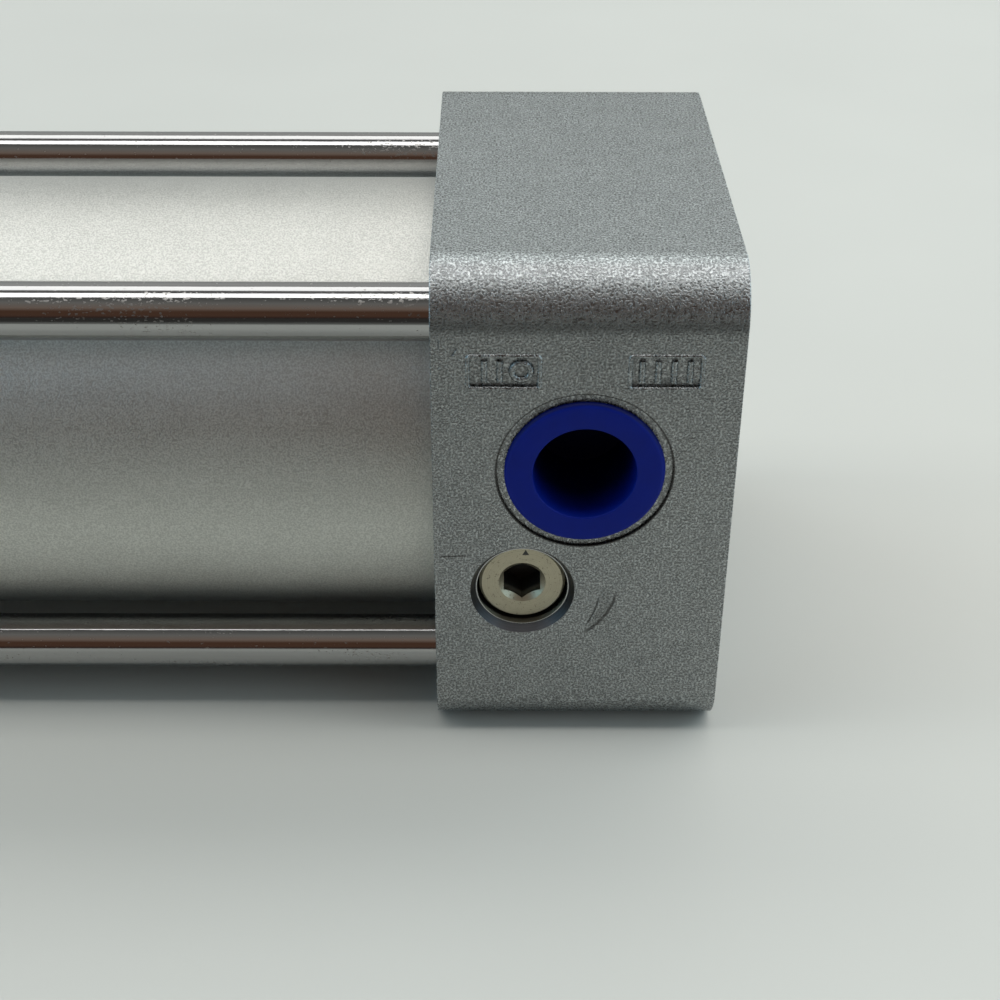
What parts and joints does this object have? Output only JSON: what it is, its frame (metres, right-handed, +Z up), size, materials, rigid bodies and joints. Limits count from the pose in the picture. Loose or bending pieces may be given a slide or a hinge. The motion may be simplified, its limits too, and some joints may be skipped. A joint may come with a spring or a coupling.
{
  "type": "tie rod cylinder",
  "caption": "Double-acting pneumatic cylinder: square die-cast caps on a round tube, drawn together by tie rods, with plugged ports, cushion needles and a threaded rod.",
  "frame": {"origin": "centre of the rear cap's outer face", "axes": "+X along the bore towards the rod end, +Y out of the port side, +Z up"},
  "size_m": [0.242, 0.0504, 0.05],
  "materials": {
    "cast_aluminium": "grained silver-grey die casting",
    "anodised_aluminium": "satin clear anodised",
    "chromed_steel": "polished hard chrome",
    "zinc_steel": "bright zinc plated",
    "blue_plastic": "deep blue polyethylene",
    "plated_needle": "olive plated, turned face",
    "seal_rubber": "matt black nitrile",
    "bushing_bronze": "sintered bronze",
    "wear_band": "filled wear band"
  },
  "bodies": {
    "barrel": {"rear_cap": "cast_aluminium", "front_cap": "cast_aluminium", "barrel_tube": "anodised_aluminium", "tie_rod_upper_port_side": "chromed_steel", "tie_rod_upper_far_side": "chromed_steel", "tie_rod_lower_far_side": "chromed_steel", "tie_rod_lower_port_side": "chromed_steel", "rear_nut_upper_port_side": "zinc_steel", "rear_nut_upper_far_side": "zinc_steel", "rear_nut_lower_far_side": "zinc_steel", "rear_nut_lower_port_side": "zinc_steel", "front_nut_upper_port_side": "zinc_steel", "front_nut_upper_far_side": "zinc_steel", "front_nut_lower_far_side": "zinc_steel", "front_nut_lower_port_side": "zinc_steel", "rear_tube_seal": "seal_rubber", "rear_cushion_seal": "seal_rubber", "front_tube_seal": "seal_rubber", "front_cushion_seal": "seal_rubber", "rod_bushing": "bushing_bronze", "rod_seal": "seal_rubber"},
    "piston_seals": {"rear_piston_seal": "seal_rubber", "front_piston_seal": "seal_rubber", "piston_wear_ring": "wear_band"},
    "rod": {"piston_rod": "chromed_steel", "piston": "anodised_aluminium", "rear_cushion_spear": "zinc_steel", "front_cushion_spear": "zinc_steel", "piston_nut": "zinc_steel", "piston_bore_seal": "seal_rubber", "rod_nut": "zinc_steel"},
    "rear_needle_ring": {"rear_needle_seal": "seal_rubber"},
    "rear_needle": {"rear_cushion_needle": "plated_needle"},
    "rear_plug": {"rear_port_plug": "blue_plastic"},
    "front_needle_ring": {"front_needle_seal": "seal_rubber"},
    "front_needle": {"front_cushion_needle": "plated_needle"},
    "front_plug": {"front_port_plug": "blue_plastic"}
  },
  "joints": [
    {"name": "rod_slide", "type": "slide", "parent": "barrel", "child": "piston_seals", "axis": [1, 0, 0], "range_m": [0, 0.1]},
    {"name": "rod_turn", "type": "hinge", "parent": "piston_seals", "child": "rod", "pos_m": [0.0465, 0, 0], "axis": [1, 0, 0], "continuous": true},
    {"name": "rear_needle_travel", "type": "slide", "parent": "barrel", "child": "rear_needle_ring", "axis": [0, 1, 0], "range_m": [-0.00113, 0.00113]},
    {"name": "rear_needle_turn", "type": "hinge", "parent": "rear_needle_ring", "child": "rear_needle", "pos_m": [0.0192, 0.02, -0.0076], "axis": [0, 1, 0], "range_deg": [-541, 541]},
    {"name": "rear_plug_pull", "type": "slide", "parent": "barrel", "child": "rear_plug", "axis": [0, 1, 0], "range_m": [0, 0.015]},
    {"name": "front_needle_travel", "type": "slide", "parent": "barrel", "child": "front_needle_ring", "axis": [0, 1, 0], "range_m": [-0.00113, 0.00113]},
    {"name": "front_needle_turn", "type": "hinge", "parent": "front_needle_ring", "child": "front_needle", "pos_m": [0.1738, 0.02, -0.0076], "axis": [0, 1, 0], "range_deg": [-541, 541]},
    {"name": "front_plug_pull", "type": "slide", "parent": "barrel", "child": "front_plug", "axis": [0, 1, 0], "range_m": [0, 0.015]}
  ],
  "couplings": [
    {"joint": "rear_needle_turn", "follows": "rear_needle_travel", "rad_per_m": 8377.6},
    {"joint": "front_needle_turn", "follows": "front_needle_travel", "rad_per_m": 8377.6}
  ]
}
